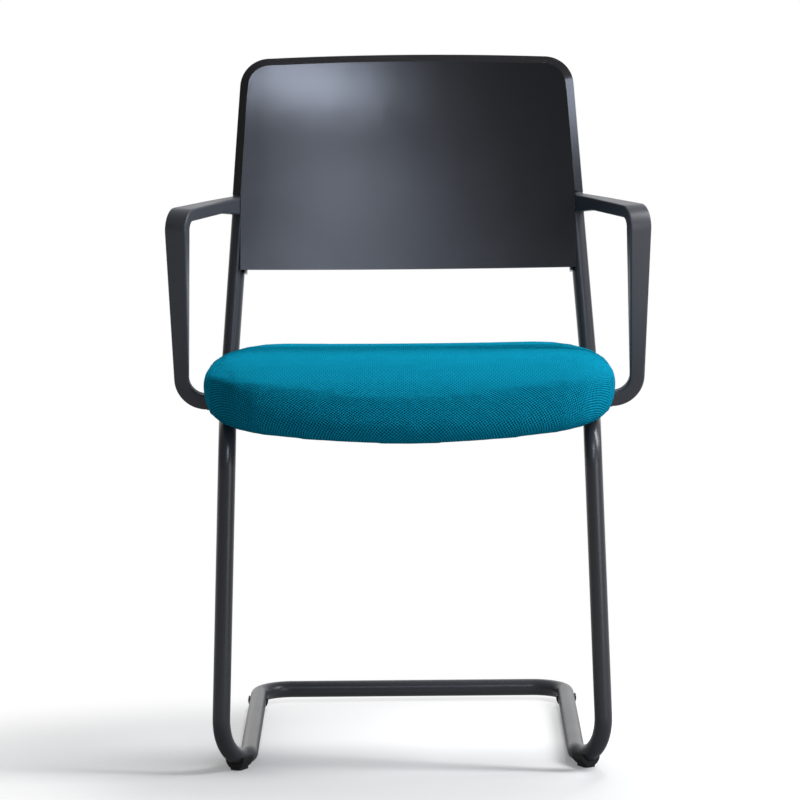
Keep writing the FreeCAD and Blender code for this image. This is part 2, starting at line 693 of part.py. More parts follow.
def cradle():
    """Rib that runs down the inner side of the left upright, behind the panel's edge."""
    side = TUBE_R / math.cos(math.radians(UPRIGHT_LEAN)) + FIT_GAP
    low = PANEL_BOTTOM - CRADLE_DROP
    high = SHOULDER_HEIGHT - ARM_EYE_GAP
    outline = [Vector(upright_x(low) - side, low, 0), Vector(upright_x(high) - side, high, 0),
               Vector(upright_x(high) - side - CRADLE_WALL, high, 0),
               Vector(upright_x(low) - side - CRADLE_WALL, low, 0)]
    rib = Part.Face(Part.makePolygon(outline + outline[:1])).extrude(Vector(0, 0, TUBE_OD + SHELL_WALL))
    rib.translate(Vector(0, 0, -TUBE_R))
    return rib.common(behind_panel(SHELL_WALL / 2, 1.0))


def backrest_shell():
    """Moulded tray: hollow panel, chamfered rim round the sides and top, a socket for each upright."""
    block = shell_block(0.0, PANEL_BOTTOM, 0.0, RIM_CHAMFER)
    block = block.cut(behind_panel(RIM_DEPTH, RIM_SAG_SHARE))
    inner_chamfer = RIM_CHAMFER - SHELL_WALL + RIM_WALL * (math.sqrt(2) - 1)
    cavity = shell_block(RIM_WALL, PANEL_BOTTOM - CORNER_RADIUS, SHELL_WALL, inner_chamfer)
    socket_top = SHOULDER_HEIGHT + NECK_LENGTH + SPIGOT_LENGTH
    socket = upright_slice(RIM_BOTTOM, socket_top + RIM_WALL, SPIGOT_R + FIT_GAP + RIM_WALL).common(block)
    bore = upright_rod(RIM_BOTTOM - TUBE_R, socket_top, SPIGOT_R + FIT_GAP)
    screw_hole = rod(Vector(upright_x(BACK_SCREW_HEIGHT), BACK_SCREW_HEIGHT, -RIM_DEPTH), UP, RIM_DEPTH,
                     BACK_SCREW_OD / 2 + FIT_GAP)
    shell = block.cut(cavity)
    for side in (lambda shape: shape, mirrored):
        shell = shell.cut(side(beside_panel())).fuse(side(socket)).fuse(side(cradle()))
        shell = shell.cut(side(bore)).cut(side(screw_hole))
    return on_back(shell.removeSplitter())


def backrest_screws():
    """Low-headed screw through the back of each socket into the spigot."""
    behind = SPIGOT_R + FIT_GAP + RIM_WALL
    seat = Vector(upright_x(BACK_SCREW_HEIGHT), BACK_SCREW_HEIGHT, -behind)
    length = behind - SPIGOT_R + 2 * TUBE_WALL
    screw = on_back(low_screw(seat, length, BACK_SCREW_OD, BACK_SCREW_HEAD))
    return [screw, mirrored(screw)]


def arm_path():
    """Line along the top of the armrest, down the front of the post and in to the rail."""
    eye = upright_point((SHOULDER_HEIGHT + RIM_BOTTOM) / 2)
    rear = Vector(eye.x, eye.y, ARM_TOP)
    front = Vector(ARM_FRONT_SPREAD / 2, FRONT_Y + ARM_FRONT_SETBACK, ARM_TOP)
    foot = Vector(ARM_FOOT_SPREAD / 2, FRONT_Y + ARM_FOOT_SETBACK, RAIL_HEIGHT)
    end = Vector(rail_x(foot.y) + TUBE_R / 2, foot.y, RAIL_HEIGHT)
    return rounded_path([rear, front, foot, end], [ARM_FRONT_BEND, ARM_FOOT_BEND])


def arm_section(origin, along, outward, width, thickness):
    """Rounded rectangle square to the arm's line, with its outer face centred on origin."""
    outward = (outward - along * along.dot(outward)).normalize()
    across = along.cross(outward)
    right = width / 2
    bend = ARM_EDGE * (1 - math.sqrt(0.5))
    side = [(right - ARM_EDGE, 0), (right - bend, -bend), (right, -ARM_EDGE),
            (right, -thickness + ARM_EDGE), (right - bend, -thickness + bend), (right - ARM_EDGE, -thickness)]
    flat = side + [(-x, y) for x, y in reversed(side)]
    points = [origin + across * x + outward * y for x, y in flat]
    edges = []
    for index in range(0, len(points), 3):
        first, middle, last = points[index:index + 3]
        edges.append(Part.Arc(first, middle, last).toShape())
        edges.append(Part.LineSegment(last, points[(index + 3) % len(points)]).toShape())
    return Part.Wire(edges)


def arm_loop():
    """Armrest, front bend, post, foot bend and foot, each run starting on the last one's end section."""
    rest, front_bend, post, foot_bend, foot = arm_path()
    rear, front = (rest.valueAt(parameter) for parameter in (rest.FirstParameter, rest.LastParameter))
    top, bottom = (post.valueAt(parameter) for parameter in (post.FirstParameter, post.LastParameter))
    forward = (front - rear).normalize()
    down = (bottom - top).normalize()
    bow = forward.cross(UP).normalize() * -ARM_BOW
    middle = rear + (front - rear) * ARM_FLARE + bow
    front_wire = arm_section(front, forward, -down, ARM_WIDTH, ARM_WAIST)
    rest_wires = [arm_section(rear, forward, UP, ARM_REAR_WIDTH, ARM_REAR_HEIGHT),
                  arm_section(middle, forward, UP, ARM_MIDDLE_WIDTH, ARM_WAIST),
                  front_wire]
    post_wires = [arm_section(top, down, forward, ARM_WIDTH, ARM_WAIST),
                  arm_section(bottom, down, Vector(0, -1, 0), ARM_FOOT_WIDTH, POST_THICKNESS)]
    foot_along = foot.tangentAt(foot.FirstParameter)
    foot_start = foot.valueAt(foot.FirstParameter)
    foot_wire = arm_section(foot_start, foot_along, Vector(0, -1, 0), ARM_FOOT_WIDTH, POST_THICKNESS)
    runs = [
        Part.makeLoft(rest_wires, True, True),
        carried(Part.Face(front_wire), front_bend),
        Part.makeLoft(post_wires, True, True),
        carried(Part.Face(post_wires[-1]), foot_bend),
        carried(Part.Face(foot_wire), foot),
    ]
    return runs[0].multiFuse(runs[1:])


def arm():
    """Left arm: the loop, an eye round the spigot, a saddle on the rail and a hole for its insert."""
    eye = upright_slice(SHOULDER_HEIGHT + ARM_EYE_GAP, RIM_BOTTOM - ARM_EYE_GAP, TUBE_R + RIM_PROUD)
    shape = arm_loop().fuse(on_back(eye))
    bore = upright_rod(SHOULDER_HEIGHT - TUBE_OD, RIM_BOTTOM + TUBE_OD, SPIGOT_R + FIT_GAP)
    shape = shape.cut(on_back(bore))
    neck = Part.makeCone(TUBE_R + FIT_GAP, SPIGOT_R + FIT_GAP, NECK_LENGTH + FIT_GAP)
    shape = shape.cut(aimed(neck, upright_point(SHOULDER_HEIGHT), back_direction()))
    shape = shape.cut(on_back(panel_room()))
    shape = shape.cut(solid_tube(FIT_GAP))
    axis_point, outwards = arm_screw_axis()
    return shape.cut(rod(axis_point, outwards, INSERT_START + ARM_INSERT_LENGTH + FIT_GAP, ARM_INSERT_OD / 2))


def panel_room():
    """Room that the arm leaves for the panel's left edge."""
    inner = panel_half() - TUBE_OD
    crease = rim_x(RIM_BOTTOM) - RIM_CHAMFER + PANEL_GAP
    outline = [Vector(inner, PANEL_BOTTOM, 0), Vector(panel_half() + PANEL_GAP, PANEL_BOTTOM, 0),
               Vector(crease, RIM_BOTTOM, 0), Vector(crease, SHELL_TOP, 0), Vector(inner, SHELL_TOP, 0)]
    room = Part.Face(Part.makePolygon(outline + outline[:1])).extrude(Vector(0, 0, TUBE_OD * 2))
    room.translate(Vector(0, 0, TUBE_R - PANEL_GAP))
    return room


def arm_insert():
    axis_point, outwards = arm_screw_axis()
    start = axis_point + outwards * INSERT_START
    blank = rod(start, outwards, ARM_INSERT_LENGTH, ARM_INSERT_OD / 2)
    return blank.cut(rod(start, outwards, ARM_INSERT_LENGTH, SEAT_SCREW_OD / 2))


def arm_screw():
    axis_point, outwards = arm_screw_axis()
    seat = axis_point - outwards * INSERT_START
    head = rod(seat - outwards * SCREW_HEAD_HEIGHT, outwards, SCREW_HEAD_HEIGHT, SCREW_HEAD_OD / 2)
    shank = rod(seat, outwards, 2 * INSERT_START + ARM_INSERT_LENGTH, SEAT_SCREW_OD / 2)
    return head.fuse(shank)


def write(name, shape):
    solids = shape if isinstance(shape, list) else [shape]
    compound = solids[0] if len(solids) == 1 else Part.makeCompound(solids)
    compound.exportStep("parts/" + name + ".step")


def main():
    os.makedirs("parts", exist_ok=True)
    left_tube = frame_tube()
    write("left_frame_tube", left_tube)
    write("right_frame_tube", mirrored(left_tube))
    write("crossbar_sleeve", crossbar_sleeve())
    for place, (centre, turn) in glide_places().items():
        clip = glide(centre, turn)
        write(place + "_left_glide", clip)
        write(place + "_right_glide", mirrored(clip))
    write("front_seat_strap", seat_strap(FRONT_Y + FRONT_STRAP_SETBACK))
    write("rear_seat_strap", seat_strap(FRONT_Y + REAR_STRAP_SETBACK))
    write("seat_pan", seat_pan())
    write("seat_board", seat_board())
    write("seat_foam", seat_foam())
    write("seat_cover", seat_cover())
    write("seat_tee_nuts", seat_tee_nuts())
    write("seat_screws", seat_screws())
    write("pan_screws", pan_screws())
    write("backrest_shell", backrest_shell())
    write("backrest_screws", backrest_screws())
    left_arm = arm()
    write("left_arm", left_arm)
    write("right_arm", mirrored(left_arm))
    write("arm_inserts", [arm_insert(), mirrored(arm_insert())])
    write("arm_screws", [arm_screw(), mirrored(arm_screw())])


main()
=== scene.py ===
import math

import bmesh
import bpy
import numpy as np
from mathutils import Matrix, Vector


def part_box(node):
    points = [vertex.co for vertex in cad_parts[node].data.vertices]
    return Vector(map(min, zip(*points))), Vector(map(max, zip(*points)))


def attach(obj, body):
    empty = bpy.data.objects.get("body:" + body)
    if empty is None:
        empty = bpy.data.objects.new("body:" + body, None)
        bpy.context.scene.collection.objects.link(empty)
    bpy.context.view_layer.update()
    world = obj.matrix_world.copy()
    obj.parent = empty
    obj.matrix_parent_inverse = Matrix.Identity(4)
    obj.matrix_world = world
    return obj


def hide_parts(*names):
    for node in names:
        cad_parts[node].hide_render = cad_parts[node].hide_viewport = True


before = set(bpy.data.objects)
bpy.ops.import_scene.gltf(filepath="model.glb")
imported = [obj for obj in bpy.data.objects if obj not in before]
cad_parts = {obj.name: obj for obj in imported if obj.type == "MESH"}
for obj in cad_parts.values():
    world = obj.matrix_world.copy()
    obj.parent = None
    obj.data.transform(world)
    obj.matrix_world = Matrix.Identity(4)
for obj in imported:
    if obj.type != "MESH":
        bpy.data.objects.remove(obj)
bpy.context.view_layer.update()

bl_info = {
    "name": "Cantilever conference chair",
    "version": (1, 0, 0),
    "blender": (4, 5, 0),
    "location": "3D View > Sidebar > Chair",
    "description": "Dresses a cantilever chair: coated tube frame, moulded back and arms, net seat",
    "category": "Object",
}

BODY = "root"
SIDES = ("left", "right")
ENDS = ("front", "rear")
MM = 0.001

# Points of a CAD mesh that lie closer than this are one point
MERGE = 0.01 * MM

# Size of the slow patches in a finish, and the share of its colour that the darker ones keep
MOTTLE = 60 * MM
SHADE = 0.85

# Filling of the cushion: how much smaller its cover starts, the air in it, and the least share of the swell
START_IN = 3 * MM
FILL_PRESSURE = 4.0
FILL_STEPS = 20
LEAST_SWELL = 0.6

# Rise of the seat's top towards the front: where it starts, its run, and the depths where it fades out
RISE_START = 120 * MM
RISE_RUN = 310 * MM
RISE_NONE_BELOW = 45 * MM
RISE_FULL_ABOVE = 18 * MM

# Paper floor: its half width, its white as seen and as it lights the chair, and the oval of the shadow
FLOOR_REACH = 30.0
PAPER_SEEN = (0.93, 0.93, 0.93, 1.0)
PAPER_BOUNCE = (0.25, 0.25, 0.25, 1.0)
OVAL_STRETCH = (0.7, 1.35, 1.0)
OVAL_SHIFT = (0.0, 0.14, 0.0)
OVAL_INNER = 0.3
OVAL_OUTER = 0.6

# Width of the camera's sensor in millimetres, as its lens is given
SENSOR_WIDTH = 36.0


def linear(hex_colour):
    """sRGB hex such as "2E2F32" as linear red, green, blue and alpha."""
    values = [int(hex_colour[place:place + 2], 16) / 255 for place in (0, 2, 4)]
    steps = [value / 12.92 if value <= 0.04045 else ((value + 0.055) / 1.055) ** 2.4 for value in values]
    return (*steps, 1.0)


def darker(colour, share):
    """A colour with its red, green and blue at a share of what they were."""
    return (*(value * share for value in colour[:3]), 1.0)


class ChairSettings(bpy.types.PropertyGroup):
    """Sizes and colours of the chair that a user would change."""

    frame_colour: bpy.props.FloatVectorProperty(
        name="Frame coat", description="Colour of the powder coat on the tube",
        default=linear("414247"), size=4, subtype="COLOR")
    back_colour: bpy.props.FloatVectorProperty(
        name="Back plastic", description="Colour of the moulded back",
        default=linear("17171B"), size=4, subtype="COLOR")
    arm_colour: bpy.props.FloatVectorProperty(
        name="Arm plastic", description="Colour of the moulded arms",
        default=linear("4C4E54"), size=4, subtype="COLOR")
    net_colour: bpy.props.FloatVectorProperty(
        name="Net yarn", description="Colour of the seat's yarn",
        default=linear("109EC2"), size=4, subtype="COLOR")
    net_pitch: bpy.props.FloatProperty(
        name="Net pitch", description="Distance from one cell of the net to the next",
        default=3.4 * MM, min=1 * MM, unit="LENGTH")
    voxel: bpy.props.FloatProperty(
        name="Cushion voxel", description="Grid of the cushion's mesh before its swelling",
        default=5 * MM, min=2 * MM, unit="LENGTH")
    swell: bpy.props.FloatProperty(
        name="Cushion swell", description="Most that the filled cover stands out from the cut shape",
        default=2.2 * MM, min=0.0, unit="LENGTH")
    front_rise: bpy.props.FloatProperty(
        name="Front rise", description="How far the filled foam stands up behind the front edge",
        default=16 * MM, min=0.0, unit="LENGTH")


class StageSettings(bpy.types.PropertyGroup):
    """Camera and light of the picture."""

    lens: bpy.props.FloatProperty(
        name="Lens", description="Focal length on a 36 mm sensor",
        default=198.49, unit="CAMERA")
    camera_place: bpy.props.FloatVectorProperty(
        name="Camera", description="Place of the camera",
        default=(0.35 * MM, -5601.25 * MM, 1154.86 * MM), subtype="TRANSLATION")
    pitch: bpy.props.FloatProperty(
        name="Pitch", description="Camera's tilt below the horizon",
        default=0.12687, subtype="ANGLE")
    yaw: bpy.props.FloatProperty(
        name="Yaw", description="Camera's turn to the right",
        default=-0.00225, subtype="ANGLE")
    roll: bpy.props.FloatProperty(
        name="Roll", description="Camera's roll",
        default=-0.009, subtype="ANGLE")
    room_light: bpy.props.FloatProperty(
        name="Room light", description="Strength of the light from the dim room in front",
        default=0.12, min=0.0)
    backdrop_light: bpy.props.FloatProperty(
        name="Backdrop light", description="Strength of the light from the white backdrop behind",
        default=2.6, min=0.0)
    key_power: bpy.props.FloatProperty(
        name="Key power", description="Power of the tall softbox on the right",
        default=54.0, min=0.0, unit="POWER")
    top_power: bpy.props.FloatProperty(
        name="Top power", description="Power of the softbox high in front",
        default=20.0, min=0.0, unit="POWER")
    front_power: bpy.props.FloatProperty(
        name="Front power", description="Power of the small softbox above the camera",
        default=3.6, min=0.0, unit="POWER")
    rear_power: bpy.props.FloatProperty(
        name="Rear power", description="Power of the softbox high behind the chair",
        default=53.0, min=0.0, unit="POWER")
    rim_power: bpy.props.FloatProperty(
        name="Rim power", description="Power of the strip on the right that lights the back's rim",
        default=8.0, min=0.0, unit="POWER")
    card_power: bpy.props.FloatProperty(
        name="Card power", description="Power of the card that lights the front from the right",
        default=7.5, min=0.0, unit="POWER")
    sweep_lift: bpy.props.FloatProperty(
        name="Sweep lift", description="Share of plain white in the floor near the chair",
        default=0.12, min=0.0, max=1.0)


def add(tree, kind, links=None, **settings):
    """Adds a node to a tree. links sets inputs: a socket is linked, any other value is the default."""
    node = tree.nodes.new(kind)
    for name, value in settings.items():
        setattr(node, name, value)
    for key, value in (links or {}).items():
        socket = node.inputs[key]
        if isinstance(value, bpy.types.NodeSocket):
            tree.links.new(value, socket)
        else:
            socket.default_value = value
    return node


def new_material(name):
    """A material with an empty tree, its Principled shader and its output."""
    material = bpy.data.materials.new(name)
    material.use_nodes = True
    tree = material.node_tree
    tree.nodes.clear()
    shader = add(tree, "ShaderNodeBsdfPrincipled")
    add(tree, "ShaderNodeOutputMaterial", {"Surface": shader.outputs["BSDF"]})
    return material, tree, shader


def grained(name, colour, shade, roughness, spread, grain, depth, metallic=0.0):
    """A moulded, sprayed or plated surface: slowly mottled in colour and gloss, with a fine grain."""
    material, tree, shader = new_material(name)
    place = add(tree, "ShaderNodeTexCoord").outputs["Object"]
    slow = add(tree, "ShaderNodeTexNoise", {"Vector": place, "Scale": 1 / MOTTLE, "Detail": 3.0})
    fine = add(tree, "ShaderNodeTexNoise", {"Vector": place, "Scale": 1 / grain, "Detail": 2.0})
    tint = add(tree, "ShaderNodeMix", {0: slow.outputs["Fac"], "A": colour, "B": shade}, data_type="RGBA")
    gloss = add(tree, "ShaderNodeMapRange",
                {"Value": slow.outputs["Fac"], "From Min": 0.3, "From Max": 0.7,
                 "To Min": roughness - spread, "To Max": roughness + spread})
    relief = add(tree, "ShaderNodeBump", {"Height": fine.outputs["Fac"], "Distance": depth, "Strength": 0.6})
    tree.links.new(tint.outputs["Result"], shader.inputs["Base Color"])
    tree.links.new(gloss.outputs["Result"], shader.inputs["Roughness"])
    tree.links.new(relief.outputs["Normal"], shader.inputs["Normal"])
    shader.inputs["Metallic"].default_value = metallic
    return material


def powder_coat(settings):
    """Polyester powder coat on steel tube: satin, with a slight orange-peel that softens its highlights."""
    colour = tuple(settings.frame_colour)
    return grained("powder_coated_steel", colour, darker(colour, SHADE),
                   roughness=0.3, spread=0.02, grain=1.6 * MM, depth=0.025 * MM)


def moulded_back(settings):
    """Glass-filled polypropylene from a spark-textured mould: a satin face that spreads the light softly."""
    colour = tuple(settings.back_colour)
    return grained("moulded_polypropylene_back", colour, darker(colour, SHADE),
                   roughness=0.225, spread=0.004, grain=0.9 * MM, depth=0.008 * MM)


def moulded_arm(settings):
    """Glass-filled polyamide: slightly duller than the back, with the same fine mould texture."""
    colour = tuple(settings.arm_colour)
    return grained("moulded_polyamide_arm", colour, darker(colour, SHADE),
                   roughness=0.42, spread=0.03, grain=0.9 * MM, depth=0.03 * MM)


def glide_plastic():
    """Moulded polyethylene glide: black and dull, with patches of more and less gloss."""
    return grained("moulded_polyethylene_glide", linear("1A1A1B"), linear("111112"),
                   roughness=0.55, spread=0.08, grain=1.2 * MM, depth=0.05 * MM)


def pan_plastic():
    """Vacuum-formed ABS underside: black with a coarse leather-like grain."""
    return grained("formed_abs_pan", linear("202022"), linear("161617"),
                   roughness=0.6, spread=0.06, grain=2.2 * MM, depth=0.12 * MM)


def zinc_steel():
    """Zinc-plated steel, pale and slightly cloudy."""
    return grained("zinc_plated_steel", linear("B9BABC"), linear("9A9B9E"),
                   roughness=0.35, spread=0.08, grain=1.0 * MM, depth=0.02 * MM, metallic=1.0)


def black_screw():
    """Black zinc screw: dark metal with a soft shine on its rounded head."""
    return grained("black_zinc_screw", linear("3A3A3C"), linear("2B2B2D"),
                   roughness=0.35, spread=0.06, grain=1.0 * MM, depth=0.02 * MM, metallic=0.8)


def brass_insert():
    """Turned brass insert: yellow metal with a clean, even shine."""
    return grained("turned_brass", linear("C9A35A"), linear("B08A45"),
                   roughness=0.3, spread=0.05, grain=0.8 * MM, depth=0.02 * MM, metallic=1.0)


def beech_plywood():
    """Raw beech plywood: pale, with long fine grain along the seat."""
    material, tree, shader = new_material("beech_plywood")
    place = add(tree, "ShaderNodeTexCoord").outputs["Object"]
    grain_width, grain_length = 4 * MM, 60 * MM
    stretched = add(tree, "ShaderNodeMapping",
                    {"Vector": place, "Scale": (1 / grain_width, 1 / grain_length, 1 / grain_width)})
    grain = add(tree, "ShaderNodeTexNoise",
                {"Vector": stretched.outputs["Vector"], "Scale": 1.0, "Detail": 4.0})
    tint = add(tree, "ShaderNodeMix",
               {0: grain.outputs["Fac"], "A": linear("D9B98C"), "B": linear("B98F5E")}, data_type="RGBA")
    tree.links.new(tint.outputs["Result"], shader.inputs["Base Color"])
    shader.inputs["Roughness"].default_value = 0.7
    return material


def seat_net(settings):
    """Polyester spacer net: staggered rows of small open cells, with painted shade inside each cell."""
    material, tree, shader = new_material("polyester_spacer_net")
    colour = tuple(settings.net_colour)
    # Painted shade: the inside of each open cell is the yarn's colour at a small share, standing for shade in
    # the recess
    painted_cell_shade = darker(colour, 0.12)
    place = add(tree, "ShaderNodeUVMap", uv_map="net").outputs["UV"]
    cell = add(tree, "ShaderNodeMapping",
               {"Vector": place, "Rotation": (0, 0, math.pi / 4),
                "Scale": (2 * math.pi / settings.net_pitch,) * 3})
    axes = add(tree, "ShaderNodeSeparateXYZ", {"Vector": cell.outputs["Vector"]})
    waves = [add(tree, "ShaderNodeMath", {0: axes.outputs[axis]}, operation="COSINE") for axis in ("X", "Y")]
    hills = add(tree, "ShaderNodeMath", {0: waves[0].outputs[0], 1: waves[1].outputs[0]}, operation="ADD")
    yarn = add(tree, "ShaderNodeMapRange", {"Value": hills.outputs[0], "From Min": -1.5, "From Max": 0.8},
               interpolation_type="SMOOTHSTEP")
    slow = add(tree, "ShaderNodeTexNoise", {"Vector": place, "Scale": 1 / (25 * MM), "Detail": 3.0})
    varied = add(tree, "ShaderNodeMix",
                 {0: slow.outputs["Fac"], "A": darker(colour, 0.92), "B": darker(colour, 1.08)},
                 data_type="RGBA")
    tint = add(tree, "ShaderNodeMix",
               {0: yarn.outputs["Result"], "A": painted_cell_shade, "B": varied.outputs["Result"]}, data_type="RGBA")
    relief = add(tree, "ShaderNodeBump",
                 {"Height": yarn.outputs["Result"], "Distance": 0.45 * MM, "Strength": 0.8})
    tree.links.new(tint.outputs["Result"], shader.inputs["Base Color"])
    tree.links.new(relief.outputs["Normal"], shader.inputs["Normal"])
    shader.inputs["Roughness"].default_value = 0.9
    shader.inputs["Specular IOR Level"].default_value = 0.0
    return material


def link_object(name, data):
    """A new object in the scene, at the origin."""
    piece = bpy.data.objects.new(name, data)
    bpy.context.scene.collection.objects.link(piece)
    return piece


def settled(piece):
    """The piece's mesh as its modifiers leave it. The modifiers are then taken off."""
    depsgraph = bpy.context.evaluated_depsgraph_get()
    mesh = bpy.data.meshes.new_from_object(piece.evaluated_get(depsgraph))
    piece.modifiers.clear()
    return mesh


def smooth_copy(node_name, piece_name, material, angle=32.0):
    """A copy of a CAD node with its triangles joined and its curved faces shaded smooth."""
    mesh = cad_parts[node_name].data.copy()
    mesh.name = piece_name
    shape = bmesh.new()
    shape.from_mesh(mesh)
    bmesh.ops.remove_doubles(shape, verts=shape.verts, dist=MERGE)
    bmesh.ops.dissolve_degenerate(shape, edges=shape.edges, dist=MERGE / 2)
    shape.to_mesh(mesh)
    shape.free()
    if mesh.attributes.get("custom_normal"):
        mesh.attributes.remove(mesh.attributes["custom_normal"])
    mesh.materials.clear()
    mesh.materials.append(material)
    mesh.shade_smooth()
    mesh.set_sharp_from_angle(angle=math.radians(angle))
    piece = link_object(piece_name, mesh)
    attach(piece, BODY)
    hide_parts(node_name)
    return piece


def paint_node(node_name, material):
    """Gives a CAD node that keeps its own mesh its finish."""
    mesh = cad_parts[node_name].data
    mesh.materials.clear()
    mesh.materials.append(material)


class ChairOperator(bpy.types.Operator):
    """Shared settings of the chair's operators."""

    bl_options = {"REGISTER", "UNDO"}

    @property
    def settings(self):
        return bpy.context.scene.chair_settings


class CHAIR_OT_frame(ChairOperator):
    """Bent tube frame, its straps and its glides."""

    bl_idname = "chair.frame"
    bl_label = "Frame"

    def execute(self, context):
        coat = powder_coat(self.settings)
        for side in SIDES:
            smooth_copy(side + "_frame_tube", side + "_tube", coat)
        for end in ENDS:
            smooth_copy(end + "_seat_strap", end + "_strap", coat)
        plastic = glide_plastic()
        for end in ENDS:
            for side in SIDES:
                name = end + "_" + side + "_glide"
                smooth_copy(name, name + "_clip", plastic)
        paint_node("crossbar_sleeve", zinc_steel())
        return {"FINISHED"}


class CHAIR_OT_back(ChairOperator):
    """Moulded back shell."""

    bl_idname = "chair.back"
    bl_label = "Back"

    def execute(self, context):
        piece = smooth_copy("backrest_shell", "back_shell", moulded_back(self.settings), 25.0)
        return {"FINISHED"}


class CHAIR_OT_arms(ChairOperator):
    """Two loop arms."""

    bl_idname = "chair.arms"
    bl_label = "Arms"

    def execute(self, context):
        plastic = moulded_arm(self.settings)
        for side in SIDES:
            smooth_copy(side + "_arm", side + "_loop_arm", plastic, 28.0)
        paint_node("arm_inserts", brass_insert())
        return {"FINISHED"}


def solids_of(node_name):
    """Points of each separate solid in a CAD node, one array for each."""
    shape = bmesh.new()
    shape.from_mesh(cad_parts[node_name].data)
    bmesh.ops.remove_doubles(shape, verts=shape.verts, dist=MERGE)
    seen = set()
    groups = []
    for start in shape.verts:
        if start in seen:
            continue
        seen.add(start)
        stack, group = [start], []
        while stack:
            vertex = stack.pop()
            group.append(tuple(vertex.co))
            for edge in vertex.link_edges:
                other = edge.other_vert(vertex)
                if other not in seen:
                    seen.add(other)
                    stack.append(other)
        groups.append(np.array(group))
    shape.free()
    return groups


def screw_place(points):
    """Where a screw's head bears, the way its shank points, and its head and shank sizes."""
    middle = points.mean(axis=0)
    spread, ways = np.linalg.eigh(np.cov((points - middle).T))
    # A screw is round, so two of its three spreads are alike and the odd one lies along its axis
    axis = ways[:, 2] if spread[2] - spread[1] > spread[1] - spread[0] else ways[:, 0]
    along = (points - middle) @ axis
    out = np.linalg.norm(points - middle - np.outer(along, axis), axis=1)
    head = out > 0.8 * out.max()
    if along[head].mean() > 0:
        axis, along = -axis, -along
    bearing = along[head].max()
    tip = along > along.max() - 0.5 * MM
    sizes = (out.max(), bearing - along.min(), out[tip].max(), along.max() - bearing)
    return middle + axis * bearing, axis, sizes


def screw_mesh(head_radius, head_height, shank_radius, shank_length):
    """One screw along +Z, its head's bearing face at the origin: low domed head with a six-sided recess."""
    steps = 36
    recess = 0.42 * head_radius
    # Radius, height and whether the ring is six-sided, from the shank's tip to the floor of the recess
    rings = (
        (0.8 * shank_radius, shank_length, False),
        (shank_radius, shank_length - 0.2 * shank_radius, False),
        (shank_radius, 0.0, False),
        (head_radius, 0.0, False),
        (head_radius, -0.4 * head_height, False),
        (0.93 * head_radius, -0.72 * head_height, False),
        (0.74 * head_radius, -head_height, False),
        (recess, -head_height, True),
        (recess, -0.35 * head_height, True),
    )
    shape = bmesh.new()
    loops = []
    for radius, height, six_sided in rings:
        loop = []
        for step in range(steps):
            angle = 2 * math.pi * step / steps
            reach = radius
            if six_sided:
                reach = radius / math.cos((angle + math.pi / 6) % (math.pi / 3) - math.pi / 6)
            loop.append(shape.verts.new((reach * math.cos(angle), reach * math.sin(angle), height)))
        loops.append(loop)
    for lower, upper in zip(loops, loops[1:]):
        for step in range(steps):
            follow = (step + 1) % steps
            shape.faces.new((lower[step], lower[follow], upper[follow], upper[step]))
    shape.faces.new(loops[0])
    shape.faces.new(loops[-1])
    bmesh.ops.recalc_face_normals(shape, faces=shape.faces)
    mesh = bpy.data.meshes.new("screw")
    shape.to_mesh(mesh)
    shape.free()
    mesh.shade_smooth()
    mesh.set_sharp_from_angle(angle=math.radians(32.0))
    return mesh


def node_group(name, inputs):
    """An empty geometry tree with its named inputs, and each input's identifier."""
    tree = bpy.data.node_groups.new(name, "GeometryNodeTree")
    tree.interface.new_socket("Geometry", in_out="INPUT", socket_type="NodeSocketGeometry")
    keys = {key: tree.interface.new_socket(key, in_out="INPUT", socket_type=kind).identifier
            for key, kind in inputs.items()}
    tree.interface.new_socket("Geometry", in_out="OUTPUT", socket_type="NodeSocketGeometry")
    return tree, keys


def screw_tree():
    """Puts a screw on each point along the point's axis, each turned by a chance angle."""
    tree, keys = node_group("screws_on_points", {
        "Screw": "NodeSocketObject", "Finish": "NodeSocketMaterial",
        "Turn": "NodeSocketFloat", "Seed": "NodeSocketInt"})
    given = add(tree, "NodeGroupInput").outputs
    screw = add(tree, "GeometryNodeObjectInfo", {"Object": given["Screw"]})
    axis = add(tree, "GeometryNodeInputNamedAttribute", {"Name": "axis"}, data_type="FLOAT_VECTOR")
    along = add(tree, "FunctionNodeAlignRotationToVector", {"Vector": axis.outputs["Attribute"]}, axis="Z")
    chance = add(tree, "FunctionNodeRandomValue", {"Min": 0.0, "Max": given["Turn"], "Seed": given["Seed"]},
                 data_type="FLOAT")
    spin = add(tree, "FunctionNodeAxisAngleToRotation",
               {"Axis": (0.0, 0.0, 1.0), "Angle": chance.outputs["Value"]})
    turned = add(tree, "FunctionNodeRotateRotation",
                 {"Rotation": along.outputs["Rotation"], "Rotate By": spin.outputs["Rotation"]},
                 rotation_space="LOCAL")
    copies = add(tree, "GeometryNodeInstanceOnPoints",
                 {"Points": given["Geometry"], "Instance": screw.outputs["Geometry"],
                  "Rotation": turned.outputs["Rotation"]})
    real = add(tree, "GeometryNodeRealizeInstances", {"Geometry": copies.outputs["Instances"]})
    dressed = add(tree, "GeometryNodeSetMaterial",
                  {"Geometry": real.outputs["Geometry"], "Material": given["Finish"]})
    add(tree, "NodeGroupOutput", {"Geometry": dressed.outputs["Geometry"]})
    return tree, keys


def grow(piece, tree, values):
    """Runs a geometry tree on a piece, keeps the result as its plain mesh and takes the tree off again."""
    modifier = piece.modifiers.new("grow", "NODES")
    modifier.node_group = tree
    for key, value in values.items():
        modifier[key] = value
    piece.data = settled(piece)
    piece.data.name = piece.name


